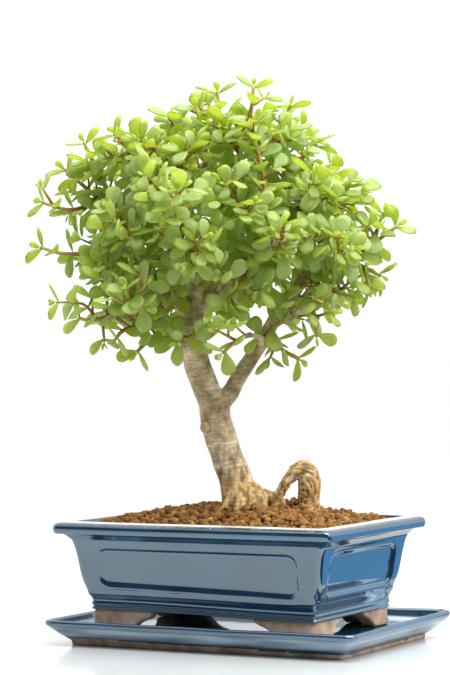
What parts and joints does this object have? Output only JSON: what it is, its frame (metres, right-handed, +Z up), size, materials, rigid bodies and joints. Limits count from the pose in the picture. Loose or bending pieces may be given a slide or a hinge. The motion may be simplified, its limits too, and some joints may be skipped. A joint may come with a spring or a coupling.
{
  "type": "jade bonsai",
  "caption": "Small-leaved jade tree trained as a bonsai, with a leaning forked trunk, a round crown and a loop root, in a glazed rectangular pot on a drip saucer.",
  "frame": {"origin": "centre of the saucer's flat underside", "axes": "+Z up; X along the pot's long side, with the loop root towards +X; the pot's front faces -Y"},
  "size_m": [0.2406, 0.2184, 0.3743],
  "materials": {
    "glaze": "gloss",
    "screen": "matte",
    "granules": "matte",
    "bark": "matte",
    "leaf": "satin"
  },
  "bodies": {
    "root": {"saucer": "glaze", "pot": "glaze", "drainage_screen_1": "screen", "drainage_screen_2": "screen", "soil": "granules", "tree": "bark", "spray_left_long": "leaf", "spray_left_upper": "leaf", "spray_left_olive": "leaf", "spray_left_cluster": "leaf", "spray_left_end": "leaf", "spray_left_under": "leaf", "spray_left_under_in": "leaf", "spray_left_front": "leaf", "spray_left_mid": "leaf", "spray_left_inner": "leaf", "spray_left_upper_front": "leaf", "spray_top_left_end": "leaf", "spray_top_left_out": "leaf", "spray_top_left_olive": "leaf", "spray_top_left_high": "leaf", "spray_top_left_near": "leaf", "spray_top_left_front": "leaf", "spray_top_cut": "leaf", "spray_top_yellow": "leaf", "spray_top_highest": "leaf", "spray_front_olive": "leaf", "spray_top_right_cut": "leaf", "spray_top_right_near": "leaf", "spray_top_right_out": "leaf", "spray_right_rosette": "leaf", "spray_right_upper_front": "leaf", "spray_right_high": "leaf", "spray_right_out": "leaf", "spray_right_low": "leaf", "spray_right_front": "leaf", "spray_right_under": "leaf", "spray_right_hang": "leaf", "spray_low_twig": "leaf", "spray_trunk_front": "leaf", "spray_trunk_left": "leaf", "spray_centre_low": "leaf", "spray_centre_end": "leaf", "spray_near_rosette": "leaf", "spray_centre_left": "leaf", "spray_centre_top": "leaf", "spray_back_1": "leaf", "spray_back_2": "leaf", "spray_back_3": "leaf", "spray_back_4": "leaf", "spray_back_5": "leaf", "spray_back_6": "leaf", "spray_back_7": "leaf", "spray_back_8": "leaf", "spray_back_9": "leaf", "spray_back_10": "leaf", "spray_back_11": "leaf", "spray_back_12": "leaf", "spray_back_13": "leaf", "spray_back_14": "leaf"}
  },
  "joints": []
}
